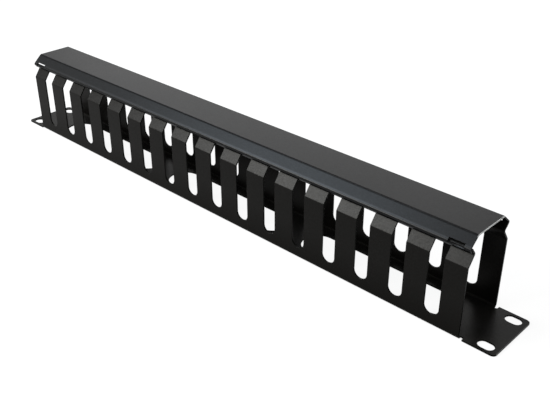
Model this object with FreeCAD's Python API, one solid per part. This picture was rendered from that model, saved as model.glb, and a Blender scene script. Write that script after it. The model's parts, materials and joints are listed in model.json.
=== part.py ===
import FreeCAD, Part
import math
import os

# Horizontal cable manager for a 19-inch rack, one rack unit high. A folded
# duct carries a comb of fingers along each side, and a folded cover snaps
# over the finger tips. Millimetres. X runs along the panel, Y across the
# rack unit and Z away from the rack. The origin is the middle of the back.

# Rack panel: the back of the duct and the ear at each end of it
panel_length = 482.6
body_sheet = 1.2
ear_width = 23.6
ear_setback = 0.4
ear_corner_r = 3.0

# Slots for the rack screws, two in each ear, placed from the ear's edges
mount_end_inset = 8.75
mount_row_inset = 5.725
mount_slot_length = 10.6
mount_slot_width = 7.2

# Notches that part the ears from the folds
relief_width = 2.0
relief_margin = 0.3
relief_r = 1.0

# Side walls: straight up, then leaning in to a valley, then flared out
duct_height = 44.0
wall_bend_r = 1.4
wall_rise = 49.7
lean_angle = 36.0
lean_length = 8.8
flare_angle = 38.0
flare_length = 5.3
finger_bend_r = 0.8

# Comb of fingers and slots, alike in both walls
finger_width = 15.95
slot_width = 10.4
slot_floor = 8.5

# Windows in the back of the duct
window_length = 122.0
window_height = 24.8
window_web = 19.3
window_end_web = 9.0

# Cover: flat top, sloping lips and returns that hook under the finger tips
cover_sheet = 1.0
cover_setback = 0.4
cover_gap = 0.3
tip_gap = 0.45
lip_angle = 48.5
lip_length = 10.6
return_length = 4.0
lip_bend_r = 0.6
return_bend_r = 0.6

# Slots across the cover's lower folds, near its ends
cover_slot_length = 10.5
cover_slot_inset = 4.2
cover_slot_in_lip = 3.0
cover_slot_in_return = 1.4

cut_margin = 1.0
same_place = 1e-6

duct_length = panel_length - 2 * ear_width
cover_length = duct_length - 2 * cover_setback
wall_face = duct_height / 2
ear_edge = wall_face - ear_setback


def vec(x, y, z):
    return FreeCAD.Vector(x, y, z)


def step(point, angle_from_up, length):
    """The (y, z) point reached along a line turned from straight up towards +Y."""
    a = math.radians(angle_from_up)
    return point[0] + math.sin(a) * length, point[1] + math.cos(a) * length


def mirrored(half):
    """A path from the +Y side up to the plane Y = 0, continued as its mirror image."""
    return half + [(-y, z) for y, z in reversed(half)]


def centred_row(count, spacing):
    """Positions along X of evenly spaced features, centred on X = 0."""
    return [(i - (count - 1) / 2) * spacing for i in range(count)]


def turn_at(points, i):
    """Heading of a path before its point i, and the angle that it turns there."""
    (y0, z0), (y1, z1), (y2, z2) = points[i - 1:i + 2]
    before = math.atan2(z1 - z0, y1 - y0)
    change = math.atan2(z2 - z1, y2 - y1) - before
    return before, math.atan2(math.sin(change), math.cos(change))


def offset_path(points, offset):
    """Corners of an open (y, z) path moved to its left by the offset."""
    corners = []
    for i, (y, z) in enumerate(points):
        if 0 < i < len(points) - 1:
            before, turn = turn_at(points, i)
        else:
            (y0, z0), (y1, z1) = points[:2] if i == 0 else points[-2:]
            before, turn = math.atan2(z1 - z0, y1 - y0), 0
        square = before + turn / 2 + math.pi / 2
        reach = offset / math.cos(turn / 2)
        corners.append(vec(0, y + math.cos(square) * reach, z + math.sin(square) * reach))
    return corners


def folded_section(points, fold_radii, sheet):
    """Section of a sheet folded at each inner point of an open (y, z) path.

    The path is one face of the sheet and the metal lies on its left. Each
    fold has its stated radius on its hollow side and a concentric arc behind.
    """
    def face_edges(offset):
        corners = offset_path(points, offset)
        edges = []
        start = corners[0]
        for i in range(1, len(points) - 1):
            turn = turn_at(points, i)[1]
            hollow = (turn > 0) == (offset > 0)
            radius = fold_radii[i - 1] if hollow else fold_radii[i - 1] + sheet
            back = (corners[i - 1] - corners[i]).normalize()
            ahead = (corners[i + 1] - corners[i]).normalize()
            trim = radius * math.tan(abs(turn) / 2)
            depth = radius / math.cos(turn / 2) - radius
            arc_start = corners[i] + back * trim
            arc_end = corners[i] + ahead * trim
            arc_middle = corners[i] + (back + ahead).normalize() * depth
            edges.append(Part.makeLine(start, arc_start))
            edges.append(Part.Arc(arc_start, arc_middle, arc_end).toShape())
            start = arc_end
        edges.append(Part.makeLine(start, corners[-1]))
        return edges, corners[0], corners[-1]

    near, near_start, near_end = face_edges(0)
    far, far_start, far_end = face_edges(sheet)
    caps = [Part.makeLine(near_start, far_start), Part.makeLine(near_end, far_end)]
    return Part.Face(Part.Wire(Part.__sortEdges__(near + caps + far)))


def extruded(section, middle, length):
    """A (y, z) section swept along X, about the stated middle."""
    solid = section.extrude(vec(length, 0, 0))
    solid.translate(vec(middle - length / 2, 0, 0))
    return solid


def slot_prism(first, second, width, depth):
    """Prism whose plan is a slot with full-round ends about two centres."""
    along = (second - first).normalize()
    across = along.cross(depth).normalize() * (width / 2)
    bulge = along * (width / 2)
    plan = [Part.makeLine(first + across, second + across),
            Part.Arc(second + across, second + bulge, second - across).toShape(),
            Part.makeLine(second - across, first - across),
            Part.Arc(first - across, first - bulge, first + across).toShape()]
    return Part.Face(Part.Wire(plan)).extrude(depth)


def slot_in_back(x, y, length, width):
    """Cutter for a slot that runs along X through the panel."""
    half = (length - width) / 2
    through = vec(0, 0, body_sheet + 2 * cut_margin)
    return slot_prism(vec(x - half, y, -cut_margin), vec(x + half, y, -cut_margin), width, through)


def upright_edges(solid, keep):
    """Edges along Z whose place across the panel passes the test."""
    found = []
    for edge in solid.Edges:
        a, b = edge.Vertexes[0].Point, edge.Vertexes[-1].Point
        if math.hypot(a.x - b.x, a.y - b.y) < same_place and keep(abs(a.x)):
            found.append(edge)
    return found


def wall_path():
    """Outer face of the rear wall, from its foot up to the finger tips."""
    foot = (wall_face, 0)
    shoulder = (wall_face, wall_rise)
    valley = step(shoulder, -lean_angle, lean_length)
    tip = step(valley, flare_angle, flare_length)
    return [foot, shoulder, valley, tip]


def make_panel():
    """Flat back with its two ears, notched where the folded walls end."""
    panel = Part.makeBox(panel_length, 2 * ear_edge, body_sheet,
                         vec(-panel_length / 2, -ear_edge, 0))
    notch_end = duct_length / 2 + relief_width
    notch_floor = wall_face - body_sheet - wall_bend_r - relief_margin
    for y in (notch_floor, -notch_floor - duct_height):
        panel = panel.cut(Part.makeBox(2 * notch_end, duct_height, body_sheet, vec(-notch_end, y, 0)))
    panel = panel.makeFillet(relief_r, upright_edges(panel, lambda x: abs(x - notch_end) < same_place))
    return panel.makeFillet(ear_corner_r, upright_edges(panel, lambda x: x > panel_length / 2 - same_place))


def comb_cutters():
    """One cutter for each pair of slots, through both walls and open at the tips."""
    pitch = finger_width + slot_width
    count = round((duct_length - finger_width) / pitch)
    reach = wall_face + cut_margin
    above_tips = wall_path()[-1][1] + slot_width
    return [slot_prism(vec(x, -reach, slot_floor + slot_width / 2), vec(x, -reach, above_tips),
                       slot_width, vec(0, 2 * reach, 0))
            for x in centred_row(count, pitch)]


def window_cutters():
    spacing = window_length + window_web
    count = int((duct_length - 2 * window_end_web + window_web) / spacing)
    return [slot_in_back(x, 0, window_length, window_height) for x in centred_row(count, spacing)]


def mount_cutters():
    x = panel_length / 2 - mount_end_inset
    y = ear_edge - mount_row_inset
    return [slot_in_back(side * x, row * y, mount_slot_length, mount_slot_width)
            for side in (-1, 1) for row in (-1, 1)]


def make_duct_body():
    rear_wall = wall_path()
    front_wall = [(-y, z) for y, z in reversed(rear_wall)]
    wall_folds = [wall_bend_r, finger_bend_r, finger_bend_r]
    section = folded_section(front_wall + rear_wall, wall_folds[::-1] + wall_folds, body_sheet)
    body = extruded(section, 0, duct_length).fuse(make_panel()).removeSplitter()
    return body.cut(comb_cutters() + window_cutters() + mount_cutters())


def cover_fold():
    """Outer corner of the cover's rear lower fold, wrapped round the finger tips."""
    beside_tip = step(wall_path()[-1], flare_angle + 90, cover_gap + cover_sheet)
    return step(beside_tip, flare_angle, tip_gap + cover_sheet)


def cover_slot_cutters():
    """Band-shaped cutters across both lower folds, near both ends."""
    fold = cover_fold()
    path = [step(fold, flare_angle + 180, cover_slot_in_return), fold,
            step(fold, -lip_angle, cover_slot_in_lip)]
    outline = offset_path(path, -cover_sheet) + offset_path(path, 2 * cover_sheet)[::-1]
    band = Part.Face(Part.makePolygon(outline + outline[:1]))
    x = (cover_length - cover_slot_length) / 2 - cover_slot_inset
    rear = [extruded(band, side * x, cover_slot_length) for side in (-1, 1)]
    return rear + [cutter.mirror(vec(0, 0, 0), vec(0, 1, 0)) for cutter in rear]


def make_snap_cover():
    fold = cover_fold()
    half = [step(fold, flare_angle + 180, return_length), fold, step(fold, -lip_angle, lip_length)]
    folds = [return_bend_r, lip_bend_r, lip_bend_r, return_bend_r]
    cover = extruded(folded_section(mirrored(half), folds, cover_sheet), 0, cover_length)
    return cover.cut(cover_slot_cutters())


nodes = {"duct_body": make_duct_body(), "snap_cover": make_snap_cover()}
os.makedirs("parts", exist_ok=True)
for name, solid in nodes.items():
    solid.exportStep(f"parts/{name}.step")
    box = solid.BoundBox
    print(f"{name}: {solid.Volume:.0f} mm3, {len(solid.Solids)} solid, valid {solid.isValid()},",
          f"{box.XLength:.1f} x {box.YLength:.1f} x {box.ZLength:.1f} mm")
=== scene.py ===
import bmesh
import bpy
import json
import math
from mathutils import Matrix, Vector


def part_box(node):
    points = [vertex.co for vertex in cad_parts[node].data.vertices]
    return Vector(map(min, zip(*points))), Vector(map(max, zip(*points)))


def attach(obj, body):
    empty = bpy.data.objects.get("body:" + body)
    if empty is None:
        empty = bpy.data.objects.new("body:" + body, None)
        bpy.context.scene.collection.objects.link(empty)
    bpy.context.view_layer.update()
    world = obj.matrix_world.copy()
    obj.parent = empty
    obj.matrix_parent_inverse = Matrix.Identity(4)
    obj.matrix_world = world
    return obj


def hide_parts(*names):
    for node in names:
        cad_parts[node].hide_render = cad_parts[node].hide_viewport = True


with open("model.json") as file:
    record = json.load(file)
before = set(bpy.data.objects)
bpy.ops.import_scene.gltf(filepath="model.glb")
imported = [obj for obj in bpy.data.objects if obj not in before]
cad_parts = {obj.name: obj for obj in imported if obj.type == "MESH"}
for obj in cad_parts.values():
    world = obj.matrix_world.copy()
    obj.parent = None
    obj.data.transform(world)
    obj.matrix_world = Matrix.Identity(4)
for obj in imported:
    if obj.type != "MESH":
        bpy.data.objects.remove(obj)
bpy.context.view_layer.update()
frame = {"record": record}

record = frame["record"]
openings = {o["name"]: o["box_m"] for o in record["physics"]["openings"]}
screwSlots = next(m for m in record["mounts"] if m["name"] == "rack_slots")
ductLow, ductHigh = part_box("duct_body")
coverLow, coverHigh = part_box("snap_cover")
mm = 0.001
weld = 0.002 * mm
sharpTurn = math.radians(50)
quarterTurn = math.radians(90)
white = (1.0, 1.0, 1.0, 1.0)


def addNode(tree, kind, values=None, **options):
    node = tree.nodes.new(kind)
    for name, value in options.items():
        setattr(node, name, value)
    for key, value in (values or {}).items():
        if isinstance(value, bpy.types.NodeSocket):
            tree.links.new(value, node.inputs[key])
        else:
            node.inputs[key].default_value = value
    return node


def calc(tree, operation, a, b=0.0):
    return addNode(tree, "ShaderNodeMath", {0: a, 1: b}, operation=operation).outputs[0]


def xyz(tree, x=0.0, y=0.0, z=0.0):
    return addNode(tree, "ShaderNodeCombineXYZ", {0: x, 1: y, 2: z}).outputs[0]


def newGroup(name, kind, given, made):
    # a node tree with named inputs and outputs
    tree = bpy.data.node_groups.new(name, kind)
    for label, socket in made:
        tree.interface.new_socket(label, in_out="OUTPUT", socket_type="NodeSocket" + socket)
    for label, socket in given:
        tree.interface.new_socket(label, in_out="INPUT", socket_type="NodeSocket" + socket)
    return tree, tree.nodes.new("NodeGroupInput").outputs, tree.nodes.new("NodeGroupOutput").inputs


def joined(tree, *parts):
    join = tree.nodes.new("GeometryNodeJoinGeometry")
    for part in parts:
        tree.links.new(part, join.inputs[0])
    return join.outputs[0]


def useGroup(tree, group, **values):
    kind = "ShaderNodeGroup" if group.bl_idname == "ShaderNodeTree" else "GeometryNodeGroup"
    return addNode(tree, kind, values, node_tree=group).outputs


def moved(tree, part, place=(0, 0, 0), turn=(0, 0, 0)):
    return addNode(tree, "GeometryNodeTransform",
                   {"Geometry": part, "Translation": place, "Rotation": turn}).outputs[0]


def copiesOn(tree, points, part):
    placed = addNode(tree, "GeometryNodeInstanceOnPoints", {"Points": points, "Instance": part})
    return addNode(tree, "GeometryNodeRealizeInstances", {"Geometry": placed.outputs[0]}).outputs[0]


def rowAlongX(tree, count, pitch):
    # evenly spaced points, centred on X = 0
    reach = calc(tree, "MULTIPLY", calc(tree, "SUBTRACT", count, 1), pitch)
    start = xyz(tree, calc(tree, "MULTIPLY", reach, -0.5))
    return addNode(tree, "GeometryNodeMeshLine", {
        "Count": count, "Start Location": start, "Offset": xyz(tree, pitch)}).outputs[0]


def combined(tree, operation, first, second):
    # a union takes all of its solids from one socket
    node = addNode(tree, "GeometryNodeMeshBoolean", operation=operation, solver="EXACT")
    if operation == "DIFFERENCE":
        tree.links.new(first, node.inputs["Mesh 1"])
    else:
        tree.links.new(first, node.inputs["Mesh 2"])
    tree.links.new(second, node.inputs["Mesh 2"])
    return node.outputs[0]


def makeThickenGroup():
    # a flat face pushed along a vector into a closed solid
    tree, given, made = newGroup("thickenFace", "GeometryNodeTree",
                                 [("face", "Geometry"), ("push", "Vector")],
                                 [("solid", "Geometry")])
    pushed = addNode(tree, "GeometryNodeExtrudeMesh",
                     {"Mesh": given["face"], "Offset": given["push"], "Individual": False})
    back = addNode(tree, "GeometryNodeFlipFaces", {"Mesh": given["face"]})
    both = joined(tree, pushed.outputs["Mesh"], back.outputs["Mesh"])
    closed = addNode(tree, "GeometryNodeMergeByDistance", {"Geometry": both, "Distance": weld})
    tree.links.new(closed.outputs[0], made["solid"])
    return tree


def makeRoundedPlateGroup():
    # a plate with rounded corners in X and Y, centred, rising from Z = 0
    tree, given, made = newGroup("roundedPlate", "GeometryNodeTree", [
        ("length", "Float"), ("width", "Float"), ("cornerRadius", "Float"),
        ("thickness", "Float"), ("cornerSteps", "Int")], [("solid", "Geometry")])
    outline = addNode(tree, "GeometryNodeCurvePrimitiveQuadrilateral",
                      {"Width": given["length"], "Height": given["width"]})
    rounded = addNode(tree, "GeometryNodeFilletCurve", {
        "Curve": outline.outputs[0], "Count": given["cornerSteps"],
        "Radius": given["cornerRadius"], "Limit Radius": True}, mode="POLY")
    filled = addNode(tree, "GeometryNodeFillCurve", {"Curve": rounded.outputs[0]}, mode="NGONS")
    tidy = addNode(tree, "GeometryNodeMergeByDistance",
                   {"Geometry": filled.outputs[0], "Distance": weld})
    solid = useGroup(tree, thickenFace, face=tidy.outputs[0],
                     push=xyz(tree, z=given["thickness"]))
    tree.links.new(solid[0], made["solid"])
    return tree


thickenFace = makeThickenGroup()
roundedPlate = makeRoundedPlateGroup()


def along(point, angleFromUp, length):
    # in Y and Z: a step on a line turned from straight up towards +Y
    turn = math.radians(angleFromUp)
    return point + Vector((math.sin(turn), math.cos(turn))) * length


def cornersBeside(path, offset):
    # a path moved to its left: each corner with its outward way and the path's turn there
    headings = [math.atan2(*(b - a).yx) for a, b in zip(path, path[1:])]
    corners = []
    for i, corner in enumerate(path):
        before = headings[max(i - 1, 0)]
        after = headings[min(i, len(headings) - 1)]
        turn = (after - before + math.pi) % (2 * math.pi) - math.pi
        square = before + turn / 2 + math.pi / 2
        outward = Vector((math.cos(square), math.sin(square)))
        corners.append((corner + outward * offset / math.cos(turn / 2), outward, turn))
    return corners


def foldedSection(path, foldRadii, sheet, steps):
    # outline of a sheet that follows a path, its metal on the left of it
    def side(offset):
        corners = cornersBeside(path, offset)
        points = [corners[0][0]]
        for (tip, outward, turn), foldRadius in zip(corners[1:-1], foldRadii):
            hollow = (turn > 0) == (offset > 0)
            radius = foldRadius + (0 if hollow else sheet)
            inward = outward * math.copysign(1, turn)
            middle = tip + inward * radius / math.cos(turn / 2)
            arm = -inward * radius
            for k in range(steps + 1):
                swing = turn * (k / steps - 0.5)
                across = arm.x * math.cos(swing) - arm.y * math.sin(swing)
                upward = arm.x * math.sin(swing) + arm.y * math.cos(swing)
                points.append(middle + Vector((across, upward)))
        points.append(corners[-1][0])
        return points

    return side(0) + side(sheet)[::-1]


def bandOutline(path, below, above):
    # outline of a band round a sharp path, as far to its right and to its left as said
    right = [corner for corner, outward, turn in cornersBeside(path, -below)]
    left = [corner for corner, outward, turn in cornersBeside(path, above)]
    return right + left[::-1]


def faceObject(name, outline, x):
    # one flat face that stands across the panel and looks along +X
    points = [(x, p.x, p.y) for p in outline]
    order = list(range(len(points)))
    area = sum(a.x * b.y - b.x * a.y for a, b in zip(outline, outline[1:] + outline[:1]))
    if area < 0:
        order.reverse()
    mesh = bpy.data.meshes.new(name)
    mesh.from_pydata(points, [], [order])
    face = bpy.data.objects.new(name, mesh)
    bpy.context.scene.collection.objects.link(face)
    return face


def grown(host, tree, values, name):
    # runs a geometry tree on its host and keeps the result as a plain mesh
    modifier = host.modifiers.new(tree.name, "NODES")
    modifier.node_group = tree
    sockets = {s.name: s.identifier for s in tree.interface.items_tree if s.in_out == "INPUT"}
    for label, value in values.items():
        modifier[sockets[label]] = value
    view = bpy.context.evaluated_depsgraph_get()
    mesh = bpy.data.meshes.new_from_object(host.evaluated_get(view))
    mesh.name = name
    piece = bpy.data.objects.new(name, mesh)
    bpy.context.scene.collection.objects.link(piece)
    host.modifiers.clear()
    bpy.data.objects.remove(host)
    return piece


def softenEdges(piece, width, steps):
    # the sharp outer edges of the sheet are slightly rounded
    edit = bmesh.new()
    edit.from_mesh(piece.data)
    share = edit.edges.layers.float.new("bevel_weight_edge")
    for edge in edit.edges:
        edge[share] = 1.0 if edge.calc_face_angle_signed(0.0) > sharpTurn else 0.0
    for face in edit.faces:
        face.smooth = True
    edit.to_mesh(piece.data)
    edit.free()
    bevel = piece.modifiers.new("brokenEdges", "BEVEL")
    bevel.width = width
    bevel.segments = steps
    bevel.limit_method = "WEIGHT"
    bevel.use_clamp_overlap = False
    flat = piece.modifiers.new("flatFaces", "WEIGHTED_NORMAL")
    flat.keep_sharp = True


duct = {
    "earWidth": 23.6 * mm,
    "sheet": 1.2 * mm,
    "wallFold": 1.4 * mm,
    "fingerFold": 0.8 * mm,
    "foldSteps": 10,
    "wallRise": 49.7 * mm,
    "leanAngle": 36.0,
    "leanLength": 8.8 * mm,
    "flareAngle": 38.0,
    "flareLength": 5.3 * mm,
    "slotWidth": 10.4 * mm,
    "slotFloor": 8.5 * mm,
    "slotSteps": 14,
    "windowLength": 122.0 * mm,
    "windowHeight": 24.8 * mm,
    "earSetback": 0.4 * mm,
    "earCorner": 3.0 * mm,
    "notchWidth": 2.0 * mm,
    "notchMargin": 0.3 * mm,
    "notchCorner": 1.0 * mm,
    "edge": 0.16 * mm,
    "edgeSteps": 2,
    # cutters through the back are so many sheets deep and start so many below it
    "cutSheets": 4,
    "cutSheetsBelow": 1.5,
    # the slot cutter is so many half widths of the duct long
    "slotReach": 3,
}


def wallPath():
    # outer face of the rear wall, from its foot to the finger tips
    foot = Vector((ductHigh.y, 0))
    shoulder = Vector((ductHigh.y, duct["wallRise"]))
    valley = along(shoulder, -duct["leanAngle"], duct["leanLength"])
    return [foot, shoulder, valley, along(valley, duct["flareAngle"], duct["flareLength"])]


def makeDuctTree():
    tree, given, made = newGroup("foldedDuct", "GeometryNodeTree", [
        ("section", "Geometry"), ("ductLength", "Float"), ("panelLength", "Float"),
        ("panelHeight", "Float"), ("sheet", "Float"), ("earCorner", "Float"),
        ("notchEnd", "Float"), ("notchFloor", "Float"), ("notchCorner", "Float"),
        ("slotCount", "Int"), ("slotPitch", "Float"), ("slotWidth", "Float"),
        ("slotFloor", "Float"), ("slotTop", "Float"), ("wallFace", "Float"),
        ("windowCount", "Int"), ("windowPitch", "Float"), ("windowLength", "Float"),
        ("windowHeight", "Float"), ("screwSpacingX", "Float"), ("screwSpacingY", "Float"),
        ("screwLength", "Float"), ("screwWidth", "Float"), ("steps", "Int"),
        ("coat", "Material")], [("piece", "Geometry")])
    deep = calc(tree, "MULTIPLY", given["sheet"], duct["cutSheets"])
    below = xyz(tree, z=calc(tree, "MULTIPLY", given["sheet"], -duct["cutSheetsBelow"]))

    walls = useGroup(tree, thickenFace, face=given["section"],
                     push=xyz(tree, given["ductLength"]))[0]
    plate = useGroup(tree, roundedPlate, length=given["panelLength"], width=given["panelHeight"],
                     cornerRadius=given["earCorner"], thickness=given["sheet"],
                     cornerSteps=given["steps"])[0]
    notch = useGroup(tree, roundedPlate, length=calc(tree, "MULTIPLY", given["notchEnd"], 2),
                     width=given["panelHeight"], cornerRadius=given["notchCorner"],
                     thickness=deep, cornerSteps=given["steps"])[0]
    reach = calc(tree, "ADD", given["panelHeight"], calc(tree, "MULTIPLY", given["notchFloor"], 2))
    notches = copiesOn(tree, addNode(tree, "GeometryNodeMeshLine", {
        "Count": 2, "Start Location": xyz(tree, y=calc(tree, "MULTIPLY", reach, -0.5)),
        "Offset": xyz(tree, y=reach)}).outputs[0], moved(tree, notch, below))
    sheet = combined(tree, "UNION", combined(tree, "DIFFERENCE", plate, notches), walls)

    tall = calc(tree, "SUBTRACT", given["slotTop"], given["slotFloor"])
    middle = calc(tree, "MULTIPLY", calc(tree, "ADD", given["slotTop"], given["slotFloor"]), 0.5)
    through = calc(tree, "MULTIPLY", given["wallFace"], duct["slotReach"])
    half = calc(tree, "MULTIPLY", given["slotWidth"], 0.5)
    slot = useGroup(tree, roundedPlate, length=given["slotWidth"], width=tall, cornerRadius=half,
                    thickness=through, cornerSteps=given["steps"])[0]
    upright = moved(tree, slot, xyz(tree, y=calc(tree, "MULTIPLY", through, 0.5), z=middle),
                    (quarterTurn, 0, 0))
    slots = copiesOn(tree, rowAlongX(tree, given["slotCount"], given["slotPitch"]), upright)

    window = useGroup(tree, roundedPlate, length=given["windowLength"],
                      width=given["windowHeight"], thickness=deep, cornerSteps=given["steps"],
                      cornerRadius=calc(tree, "MULTIPLY", given["windowHeight"], 0.5))[0]
    windows = copiesOn(tree, rowAlongX(tree, given["windowCount"], given["windowPitch"]),
                       moved(tree, window, below))

    screw = useGroup(tree, roundedPlate, length=given["screwLength"], width=given["screwWidth"],
                     thickness=deep, cornerSteps=given["steps"],
                     cornerRadius=calc(tree, "MULTIPLY", given["screwWidth"], 0.5))[0]
    corners = addNode(tree, "GeometryNodeMeshGrid", {
        "Size X": given["screwSpacingX"], "Size Y": given["screwSpacingY"],
        "Vertices X": 2, "Vertices Y": 2}).outputs[0]
    screws = copiesOn(tree, corners, moved(tree, screw, below))

    cut = combined(tree, "DIFFERENCE", sheet, joined(tree, slots, windows, screws))
    whole = addNode(tree, "GeometryNodeRealizeInstances", {"Geometry": cut}).outputs[0]
    coated = addNode(tree, "GeometryNodeSetMaterial",
                     {"Geometry": whole, "Material": given["coat"]}).outputs[0]
    tree.links.new(coated, made["piece"])
    return tree


def middlesAlongX(kind):
    # the middle of each stated opening of one kind
    return sorted((low[0] + high[0]) / 2
                  for name, (low, high) in openings.items() if name.startswith(kind))


def makeDuct(coat):
    rear = wallPath()
    front = [Vector((-p.x, p.y)) for p in reversed(rear)]
    folds = [duct["wallFold"], duct["fingerFold"], duct["fingerFold"]]
    outline = foldedSection(front + rear, folds[::-1] + folds, duct["sheet"], duct["foldSteps"])
    wallEnd = ductHigh.x - duct["earWidth"]
    host = faceObject("ductSection", outline, -wallEnd)
    slotMiddles = middlesAlongX("finger_slot")
    windowMiddles = middlesAlongX("window")
    notchFloor = ductHigh.y - duct["sheet"] - duct["wallFold"] - duct["notchMargin"]
    sizes = screwSlots["dims"]
    piece = grown(host, makeDuctTree(), {
        "ductLength": 2 * wallEnd,
        "panelLength": ductHigh.x - ductLow.x,
        "panelHeight": ductHigh.y - ductLow.y - 2 * duct["earSetback"],
        "sheet": duct["sheet"],
        "earCorner": duct["earCorner"],
        "notchEnd": wallEnd + duct["notchWidth"],
        "notchFloor": notchFloor,
        "notchCorner": duct["notchCorner"],
        "slotCount": len(slotMiddles),
        "slotPitch": slotMiddles[1] - slotMiddles[0],
        "slotWidth": duct["slotWidth"],
        "slotFloor": duct["slotFloor"],
        "slotTop": ductHigh.z + duct["slotWidth"],
        "wallFace": ductHigh.y,
        "windowCount": len(windowMiddles),
        "windowPitch": windowMiddles[1] - windowMiddles[0],
        "windowLength": duct["windowLength"],
        "windowHeight": duct["windowHeight"],
        "screwSpacingX": sizes["spacing_x_mm"] * mm,
        "screwSpacingY": sizes["spacing_y_mm"] * mm,
        "screwLength": sizes["slot_length_mm"] * mm,
        "screwWidth": 2 * sizes["hole_r_mm"] * mm,
        "steps": duct["slotSteps"],
        "coat": coat,
    }, "folded_duct")
    softenEdges(piece, duct["edge"], duct["edgeSteps"])
    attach(piece, "duct")
    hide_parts("duct_body")


cover = {
    "sheet": 1.0 * mm,
    "gap": 0.3 * mm,
    "tipGap": 0.45 * mm,
    "lipAngle": 48.5,
    "lipLength": 10.6 * mm,
    "returnLength": 4.0 * mm,
    "fold": 0.6 * mm,
    "foldSteps": 8,
    "slotLength": 10.5 * mm,
    "slotInset": 4.2 * mm,
    "slotInLip": 3.0 * mm,
    "slotInReturn": 1.4 * mm,
    "slotBandSheets": 2,
    "edge": 0.14 * mm,
    "edgeSteps": 2,
}


def coverFold():
    # outer corner of the rear lower fold, wrapped round the finger tips
    beside = along(wallPath()[-1], duct["flareAngle"] + 90, cover["gap"] + cover["sheet"])
    return along(beside, duct["flareAngle"], cover["tipGap"] + cover["sheet"])


def makeCoverTree():
    tree, given, made = newGroup("foldedCover", "GeometryNodeTree", [
        ("section", "Geometry"), ("length", "Float"), ("slotBand", "Object"),
        ("slotLength", "Float"), ("slotSpacing", "Float"), ("coat", "Material")],
        [("piece", "Geometry")])
    solid = useGroup(tree, thickenFace, face=given["section"], push=xyz(tree, given["length"]))[0]
    band = addNode(tree, "GeometryNodeObjectInfo", {"Object": given["slotBand"]})
    cutter = useGroup(tree, thickenFace, face=band.outputs["Geometry"],
                      push=xyz(tree, given["slotLength"]))[0]
    centred = moved(tree, cutter, xyz(tree, calc(tree, "MULTIPLY", given["slotLength"], -0.5)))
    rear = copiesOn(tree, rowAlongX(tree, 2, given["slotSpacing"]), centred)
    front = moved(tree, rear, turn=(0, 0, math.pi))
    cut = combined(tree, "DIFFERENCE", solid, joined(tree, rear, front))
    whole = addNode(tree, "GeometryNodeRealizeInstances", {"Geometry": cut}).outputs[0]
    coated = addNode(tree, "GeometryNodeSetMaterial",
                     {"Geometry": whole, "Material": given["coat"]}).outputs[0]
    tree.links.new(coated, made["piece"])
    return tree


def makeCover(coat):
    corner = coverFold()
    half = [along(corner, duct["flareAngle"] + 180, cover["returnLength"]), corner,
            along(corner, -cover["lipAngle"], cover["lipLength"])]
    path = half + [Vector((-p.x, p.y)) for p in reversed(half)]
    outline = foldedSection(path, [cover["fold"]] * 4, cover["sheet"], cover["foldSteps"])
    host = faceObject("coverSection", outline, coverLow.x)
    bandPath = [along(corner, duct["flareAngle"] + 180, cover["slotInReturn"]), corner,
                along(corner, -cover["lipAngle"], cover["slotInLip"])]
    bandFace = bandOutline(bandPath, cover["sheet"], cover["slotBandSheets"] * cover["sheet"])
    band = faceObject("coverSlotBand", bandFace, 0.0)
    length = coverHigh.x - coverLow.x
    piece = grown(host, makeCoverTree(), {
        "length": length,
        "slotBand": band,
        "slotLength": cover["slotLength"],
        "slotSpacing": length - cover["slotLength"] - 2 * cover["slotInset"],
        "coat": coat,
    }, "clip_cover")
    bpy.data.objects.remove(band)
    softenEdges(piece, cover["edge"], cover["edgeSteps"])
    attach(piece, "cover")
    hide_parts("snap_cover")


grainNoise = {
    "peelDetail": 3.0,
    "peelRoughness": 0.55,
    "speckDetail": 2.0,
    "speckRoughness": 0.6,
    "broadScale": 16.0,
    "broadDetail": 2.0,
}


def makeGrainGroup():
    # the fine orange peel that a baked powder coat leaves
    tree, given, made = newGroup("powderGrain", "ShaderNodeTree", [
        ("peelScale", "Float"), ("speckScale", "Float"), ("speckShare", "Float")],
        [("height", "Float"), ("mottle", "Float"), ("sheen", "Float")])
    place = addNode(tree, "ShaderNodeTexCoord").outputs["Object"]
    peel = addNode(tree, "ShaderNodeTexNoise", {
        "Vector": place, "Scale": given["peelScale"],
        "Detail": grainNoise["peelDetail"], "Roughness": grainNoise["peelRoughness"]})
    speck = addNode(tree, "ShaderNodeTexNoise", {
        "Vector": place, "Scale": given["speckScale"],
        "Detail": grainNoise["speckDetail"], "Roughness": grainNoise["speckRoughness"]})
    broad = addNode(tree, "ShaderNodeTexNoise", {
        "Vector": place, "Scale": grainNoise["broadScale"], "Detail": grainNoise["broadDetail"]})
    fine = calc(tree, "MULTIPLY", speck.outputs[0], given["speckShare"])
    height = calc(tree, "ADD", peel.outputs[0], fine)
    # each noise averages a half
    middle = calc(tree, "MULTIPLY", calc(tree, "ADD", given["speckShare"], 1.0), 0.5)
    tree.links.new(height, made["height"])
    tree.links.new(calc(tree, "SUBTRACT", height, middle), made["mottle"])
    tree.links.new(calc(tree, "SUBTRACT", broad.outputs[0], 0.5), made["sheen"])
    return tree


dustNoise = {
    "detail": 6.0,
    "roughness": 0.7,
}


def makeDustGroup():
    # the little dust that settles on faces that look up
    tree, given, made = newGroup("settledDust", "ShaderNodeTree", [
        ("amount", "Float"), ("patchScale", "Float")], [("mask", "Float")])
    coords = addNode(tree, "ShaderNodeTexCoord").outputs
    place = coords["Object"]
    facing = addNode(tree, "ShaderNodeSeparateXYZ", {0: coords["Normal"]}).outputs[2]
    upward = calc(tree, "MAXIMUM", facing, 0.0)
    patches = addNode(tree, "ShaderNodeTexNoise", {
        "Vector": place, "Scale": given["patchScale"],
        "Detail": dustNoise["detail"], "Roughness": dustNoise["roughness"]}).outputs[0]
    settled = calc(tree, "MULTIPLY", upward, calc(tree, "MULTIPLY", patches, given["amount"]))
    tree.links.new(settled, made["mask"])
    return tree


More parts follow.
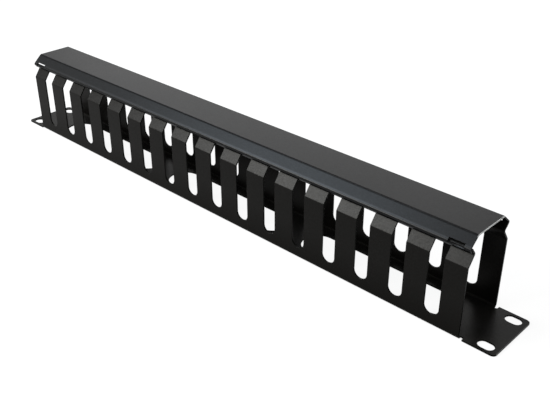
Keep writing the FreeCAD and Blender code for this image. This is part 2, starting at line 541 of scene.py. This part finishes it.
# the skin is a share of the depth, and the worn highlight starts and ends at a level of the noise
wornEnd = {
    "skin": 0.2,
    "wearFrom": 0.1,
    "wearTo": 0.45,
}


def makeThinEdgeGroup():
    # the cut ends of a flat top, painted pale: a painted edge highlight, partly thin worn coat
    tree, given, made = newGroup("thinEdge", "ShaderNodeTree", [
        ("endX", "Float"), ("topZ", "Float"), ("depth", "Float"), ("wear", "Float"),
        ("wearScale", "Float")], [("mask", "Float")])
    place = addNode(tree, "ShaderNodeTexCoord").outputs["Object"]
    axes = addNode(tree, "ShaderNodeSeparateXYZ", {0: place}).outputs
    inset = calc(tree, "SUBTRACT", given["endX"], calc(tree, "ABSOLUTE", axes[0]))
    atEnd = calc(tree, "LESS_THAN", inset, calc(tree, "MULTIPLY", given["depth"], wornEnd["skin"]))
    below = calc(tree, "SUBTRACT", given["topZ"], axes[2])
    nearTop = calc(tree, "LESS_THAN", below, given["depth"])
    worn = addNode(tree, "ShaderNodeTexNoise",
                   {"Vector": place, "Scale": given["wearScale"]}).outputs[0]
    shown = addNode(tree, "ShaderNodeMapRange", {
        "Value": worn, "From Min": wornEnd["wearFrom"], "From Max": wornEnd["wearTo"],
        "To Max": given["wear"]}).outputs[0]
    endTop = calc(tree, "MULTIPLY", atEnd, nearTop)
    tree.links.new(calc(tree, "MULTIPLY", shown, endTop), made["mask"])
    return tree


def ramp(tree, value, start, end):
    # 0 at the start, 1 at the end and beyond
    return addNode(tree, "ShaderNodeMapRange",
                   {"Value": value, "From Min": start, "From Max": end}).outputs[0]


# where each change starts and ends, by how far a face looks up: 1 is up and -1 is down
foldFacing = {
    "press": (0.1, 0.4),
    "crown": (0.995, 0.98),
    "down": (-0.5, -0.2),
    "steep": (0.98, 0.9),
    "creaseFoot": (0.02, 0.1),
    "creaseTop": (0.99, 0.97),
}
crownBlend = 0.4 * mm


def makeFoldGroup():
    # painted light in the coat's sheen: a painted highlight beside a fold, painted shade on a
    # crown, on faces that look down and near the foot
    tree, given, made = newGroup("foldSheen", "ShaderNodeTree", [
        ("sheen", "Float"), ("pressHeight", "Float"), ("pressWidth", "Float"),
        ("burnish", "Float"), ("crownHeight", "Float"), ("crownDull", "Float"),
        ("footHeight", "Float"), ("creaseHeight", "Float")],
        [("weight", "Float"), ("crease", "Float")])
    coords = addNode(tree, "ShaderNodeTexCoord").outputs
    facing = addNode(tree, "ShaderNodeSeparateXYZ", {0: coords["Normal"]}).outputs[2]
    height = addNode(tree, "ShaderNodeSeparateXYZ", {0: coords["Object"]}).outputs[2]

    # a painted highlight: a bright line of sheen beside a fold
    fromLine = calc(tree, "ABSOLUTE", calc(tree, "SUBTRACT", height, given["pressHeight"]))
    line = ramp(tree, fromLine, given["pressWidth"], 0.0)
    pressed = calc(tree, "MULTIPLY", line, ramp(tree, facing, *foldFacing["press"]))
    bright = calc(tree, "ADD", calc(tree, "MULTIPLY", pressed, given["burnish"]), 1.0)

    # painted shade: a crown between a flat top and a slope is darkened, and so is the start of the
    # slope
    fullCrown = calc(tree, "ADD", given["crownHeight"], crownBlend)
    onCrown = ramp(tree, height, given["crownHeight"], fullCrown)
    crown = calc(tree, "MULTIPLY", onCrown, ramp(tree, facing, *foldFacing["crown"]))
    dull = calc(tree, "SUBTRACT", 1.0, calc(tree, "MULTIPLY", crown, given["crownDull"]))

    # painted shade: the sheen is taken away on faces that look down, and on steep ones towards the
    # foot
    notDown = ramp(tree, facing, *foldFacing["down"])
    steep = ramp(tree, facing, *foldFacing["steep"])
    low = calc(tree, "SUBTRACT", 1.0, ramp(tree, height, 0.0, given["footHeight"]))
    foot = calc(tree, "SUBTRACT", 1.0, calc(tree, "MULTIPLY", steep, low))

    weight = given["sheen"]
    for factor in (bright, dull, notDown, foot):
        weight = calc(tree, "MULTIPLY", weight, factor)
    tree.links.new(weight, made["weight"])

    # the crease along the foot's fold is rough
    inFold = calc(tree, "MULTIPLY", ramp(tree, facing, *foldFacing["creaseFoot"]),
                  ramp(tree, facing, *foldFacing["creaseTop"]))
    nearFoot = calc(tree, "LESS_THAN", height, given["creaseHeight"])
    tree.links.new(calc(tree, "MULTIPLY", inFold, nearFoot), made["crease"])
    return tree


powderGrain = makeGrainGroup()
settledDust = makeDustGroup()
thinEdge = makeThinEdgeGroup()
foldSheen = makeFoldGroup()


def makePowderCoat(name, look):
    material = bpy.data.materials.new(name)
    material.use_nodes = True
    tree = material.node_tree
    shader = tree.nodes["Principled BSDF"]
    grain = useGroup(tree, powderGrain, peelScale=look["peelScale"],
                     speckScale=look["speckScale"], speckShare=look["speckShare"])
    dust = useGroup(tree, settledDust, amount=look["dust"], patchScale=look["dustScale"])
    colour = addNode(tree, "ShaderNodeMix", {
        "Factor": dust["mask"], "A": (*look["colour"], 1),
        "B": (*look["dustColour"], 1)}, data_type="RGBA")
    # pale cut top ends: a painted edge highlight, partly thin worn coat
    worn = useGroup(tree, thinEdge, endX=look["endX"], topZ=look["topZ"], depth=look["edgeDepth"],
                    wear=look["edgeWear"], wearScale=look["wearScale"])
    bare = addNode(tree, "ShaderNodeMix", {
        "Factor": worn["mask"], "A": colour.outputs["Result"],
        "B": (*look["bareColour"], 1)}, data_type="RGBA")
    tree.links.new(bare.outputs["Result"], shader.inputs["Base Color"])
    # painted highlight and painted shade in the coat's sheen, and a rough crease at the foot
    sheen = useGroup(tree, foldSheen, sheen=look["sheen"], pressHeight=look["pressHeight"],
                     pressWidth=look["pressWidth"], burnish=look["burnish"],
                     crownHeight=look["crownHeight"], crownDull=look["crownDull"],
                     footHeight=look["footHeight"], creaseHeight=look["creaseHeight"])
    shift = calc(tree, "MULTIPLY", grain["sheen"], look["sheenShift"])
    rough = calc(tree, "ADD", calc(tree, "ADD", shift, look["roughness"]),
                 calc(tree, "MULTIPLY", dust["mask"], look["dustDull"]))
    rough = calc(tree, "ADD", rough, calc(tree, "MULTIPLY", sheen["crease"], look["creaseDull"]))
    tree.links.new(rough, shader.inputs["Roughness"])
    bump = addNode(tree, "ShaderNodeBump", {
        "Height": grain["height"], "Strength": look["bump"], "Distance": look["peelDepth"]})
    tree.links.new(bump.outputs[0], shader.inputs["Normal"])
    mottle = calc(tree, "ADD", calc(tree, "MULTIPLY", grain["mottle"], look["mottle"]), 1.0)
    tree.links.new(calc(tree, "MULTIPLY", sheen["weight"], mottle), shader.inputs["Coat Weight"])
    shader.inputs["Coat Roughness"].default_value = look["roughness"]
    shader.inputs["Specular IOR Level"].default_value = look["gloss"]
    shader.inputs["Specular Tint"].default_value = (*look["tint"], 1)
    return material


ductCoat = {
    "colour": (0.0021, 0.0019, 0.0016),
    "roughness": 0.34,
    "gloss": 0.027,
    "sheen": 0.093,
    "peelScale": 900.0,
    "speckScale": 4200.0,
    "speckShare": 0.35,
    "peelDepth": 0.03 * mm,
    "bump": 0.5,
    "mottle": 1.6,
    "sheenShift": 0.08,
    "dust": 0.02,
    "dustScale": 240.0,
    "dustColour": (0.16, 0.155, 0.15),
    "dustDull": 0.5,
    "tint": (1.0, 0.98, 0.92),
    # the duct gets no painted fold highlight and no painted crown shade, but painted shade towards
    # its foot
    "pressHeight": 0.0,
    "pressWidth": 1.0 * mm,
    "burnish": 0.0,
    "crownHeight": 0.0,
    "crownDull": 0.0,
    "footHeight": 26.0 * mm,
    "creaseHeight": 3.0 * mm,
    "creaseDull": 0.45,
    # pale colour of the painted edge highlight, partly thin worn coat, on the cut ends
    "bareColour": (0.38, 0.38, 0.37),
    "endX": ductHigh.x,
    "topZ": duct["sheet"],
    "edgeDepth": 1.3 * mm,
    "edgeWear": 0.2,
    "wearScale": 420.0,
}
coverCoat = dict(
    ductCoat,
    colour=(0.0018, 0.0019, 0.0021),
    roughness=0.32,
    tint=(1.0, 1.0, 1.0),
    sheen=0.133,
    mottle=0.7,
    # where the cover's painted fold highlight and painted crown shade lie
    pressHeight=coverFold().y + 1.362 * mm,
    pressWidth=0.55 * mm,
    burnish=1.2,
    crownHeight=coverHigh.z - 0.912 * mm,
    crownDull=1.0,
    endX=coverHigh.x,
    topZ=coverHigh.z,
    edgeDepth=1.1 * mm,
    # the cover's painted edge highlight, partly thin worn coat, at full strength
    edgeWear=1.0,
)

makeDuct(makePowderCoat("ductPowderCoat", ductCoat))
print("duct folded")
makeCover(makePowderCoat("coverPowderCoat", coverCoat))
print("cover folded")


studio = {
    "lampReach": 1.5,
    "lampAim": (0.0, 0.0, 0.04),
    "floorSize": 8.0,
    "floorDrop": 0.1 * mm,
    "floorColour": (0.86, 0.86, 0.86),
    "floorRoughness": 0.9,
    "floorGlow": 0.9,
    "glowStrength": 1.0,
    "worldLevel": 0.55,
    "seenLevel": 1.0,
    "lamps": [
        # name, turn from the front and rise in degrees, width and height, watts, colour
        ("frontBox", (-34.5, 30.5), (0.80, 0.55), 33.5, (1.0, 1.0, 0.98)),
        ("upperBox", (-50.0, 47.0), (0.62, 0.55), 9.2, (0.80, 0.97, 1.14)),
        ("backBox", (-140.0, 28.0), (1.20, 0.50), 3.9, (1.0, 1.0, 1.0)),
        ("foldBox", (-82.0, 66.0), (0.35, 0.35), 12.0, (1.0, 1.0, 1.0)),
        ("farBox", (-168.0, 47.0), (0.45, 0.35), 2.0, (1.0, 1.0, 1.0)),
    ],
}


def plainMaterial(name, colour, roughness):
    material = bpy.data.materials.new(name)
    material.use_nodes = True
    shader = material.node_tree.nodes["Principled BSDF"]
    shader.inputs["Base Color"].default_value = (*colour, 1)
    shader.inputs["Roughness"].default_value = roughness
    shader.inputs["Specular IOR Level"].default_value = 0.0
    return material


def seenOrReflected(tree):
    # 1 for rays from the camera and for those the coat or a gap sends on
    rays = addNode(tree, "ShaderNodeLightPath").outputs
    return calc(tree, "MAXIMUM", rays["Is Camera Ray"],
                calc(tree, "MAXIMUM", rays["Is Glossy Ray"], rays["Is Transmission Ray"]))


def makeFloorMaterial():
    # a white floor that keeps a light shadow of what stands on it, clear from below
    material = plainMaterial("paleFloor", studio["floorColour"], studio["floorRoughness"])
    tree = material.node_tree
    glow = addNode(tree, "ShaderNodeEmission", {"Color": white, "Strength": studio["glowStrength"]})
    share = calc(tree, "MULTIPLY", seenOrReflected(tree), studio["floorGlow"])
    mix = addNode(tree, "ShaderNodeMixShader", {
        0: share, 1: tree.nodes["Principled BSDF"].outputs[0], 2: glow.outputs[0]})
    clear = addNode(tree, "ShaderNodeBsdfTransparent")
    fromBelow = addNode(tree, "ShaderNodeNewGeometry").outputs["Backfacing"]
    oneWay = addNode(tree, "ShaderNodeMixShader", {
        0: fromBelow, 1: mix.outputs[0], 2: clear.outputs[0]})
    tree.links.new(oneWay.outputs[0], tree.nodes["Material Output"].inputs["Surface"])
    return material


def makeFloor():
    half = studio["floorSize"] / 2
    z = ductLow.z - studio["floorDrop"]
    mesh = bpy.data.meshes.new("studioFloor")
    mesh.from_pydata([(-half, -half, z), (half, -half, z), (half, half, z), (-half, half, z)],
                     [], [(0, 1, 2, 3)])
    floor = bpy.data.objects.new("studioFloor", mesh)
    bpy.context.scene.collection.objects.link(floor)
    mesh.materials.append(makeFloorMaterial())


def aimed(thing, place, aim):
    thing.rotation_mode = "QUATERNION"
    thing.location = place
    thing.rotation_quaternion = (Vector(aim) - Vector(place)).to_track_quat("-Z", "Y")


def makeLamps():
    for name, (turn, rise), (width, height), watts, colour in studio["lamps"]:
        lamp = bpy.data.lights.new(name, "AREA")
        lamp.shape = "RECTANGLE"
        lamp.size = width
        lamp.size_y = height
        lamp.energy = watts
        lamp.color = colour
        stand = bpy.data.objects.new(name, lamp)
        bpy.context.scene.collection.objects.link(stand)
        around = math.radians(turn)
        up = math.radians(rise)
        way = Vector((math.sin(around) * math.cos(up), -math.cos(around) * math.cos(up),
                      math.sin(up)))
        aim = Vector(studio["lampAim"])
        aimed(stand, aim + way * studio["lampReach"], aim)


def makeWorld():
    world = bpy.data.worlds.new("studioWorld")
    bpy.context.scene.world = world
    world.use_nodes = True
    tree = world.node_tree
    background = tree.nodes["Background"]
    level = addNode(tree, "ShaderNodeMapRange", {
        "Value": seenOrReflected(tree), "To Min": studio["worldLevel"],
        "To Max": studio["seenLevel"]}).outputs[0]
    background.inputs["Color"].default_value = white
    tree.links.new(level, background.inputs["Strength"])


camera = {
    "place": (0.38938, -0.35861, 0.29773),
    "aim": (0.06794, -0.01813, 0.03400),
    "lens": 52.02,
    "sensor": 36.0,
    "nearest": 0.01,
    "farthest": 50.0,
}


def makeCamera():
    lens = bpy.data.cameras.new("studioCamera")
    lens.lens = camera["lens"]
    lens.sensor_width = camera["sensor"]
    lens.sensor_fit = "HORIZONTAL"
    lens.clip_start = camera["nearest"]
    lens.clip_end = camera["farthest"]
    stand = bpy.data.objects.new("studioCamera", lens)
    bpy.context.scene.collection.objects.link(stand)
    aimed(stand, camera["place"], camera["aim"])
    bpy.context.scene.camera = stand


makeFloor()
makeLamps()
makeWorld()
makeCamera()
bpy.context.scene.view_settings.view_transform = "Standard"
print("studio set")

bpy.context.view_layer.update()
